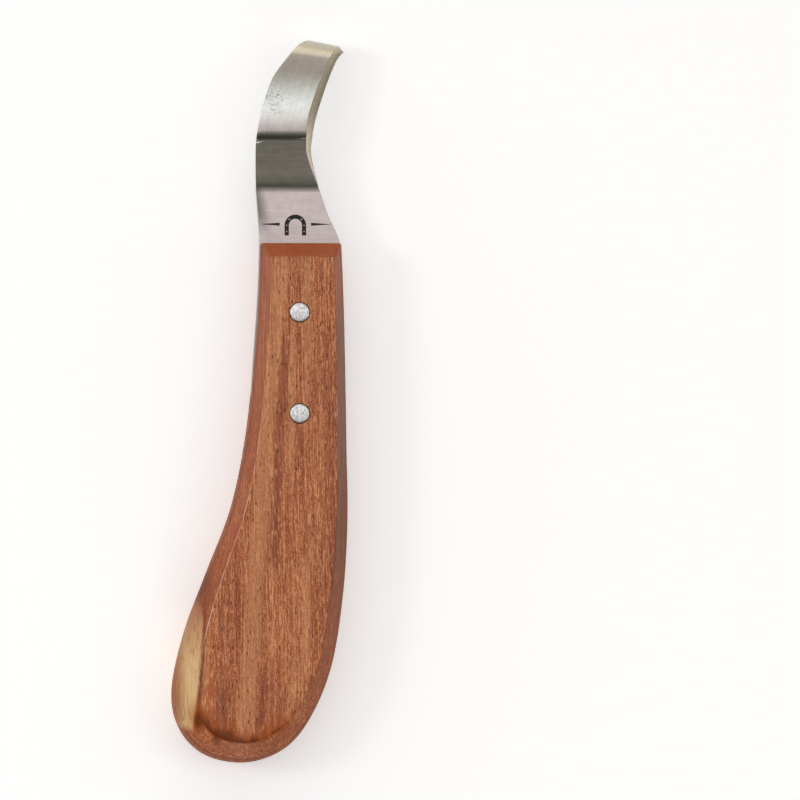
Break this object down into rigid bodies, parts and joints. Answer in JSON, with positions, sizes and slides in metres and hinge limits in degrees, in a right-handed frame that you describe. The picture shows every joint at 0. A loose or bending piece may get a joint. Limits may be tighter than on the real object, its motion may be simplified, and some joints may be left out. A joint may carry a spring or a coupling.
{
  "type": "hoof knife",
  "caption": "Hooked steel farrier's blade with its tang riveted into a shaped one-piece wooden handle, for trimming hooves.",
  "frame": {"origin": "on the lower broad face of the handle, midway between the two rivets", "axes": "+Y from the butt towards the hook, +Z out of the upper broad face and the outer side of the blade, +X towards the blade's spine"},
  "size_m": [0.0467, 0.1912, 0.0195],
  "materials": {
    "blade_steel": "brushed, satin",
    "handle_wood": "oiled, satin",
    "rivet_metal": "brushed, satin"
  },
  "bodies": {
    "root": {"blade": "blade_steel", "handle": "handle_wood", "front_rivet_male": "rivet_metal", "front_rivet_female": "rivet_metal", "rear_rivet_male": "rivet_metal", "rear_rivet_female": "rivet_metal"}
  },
  "joints": []
}
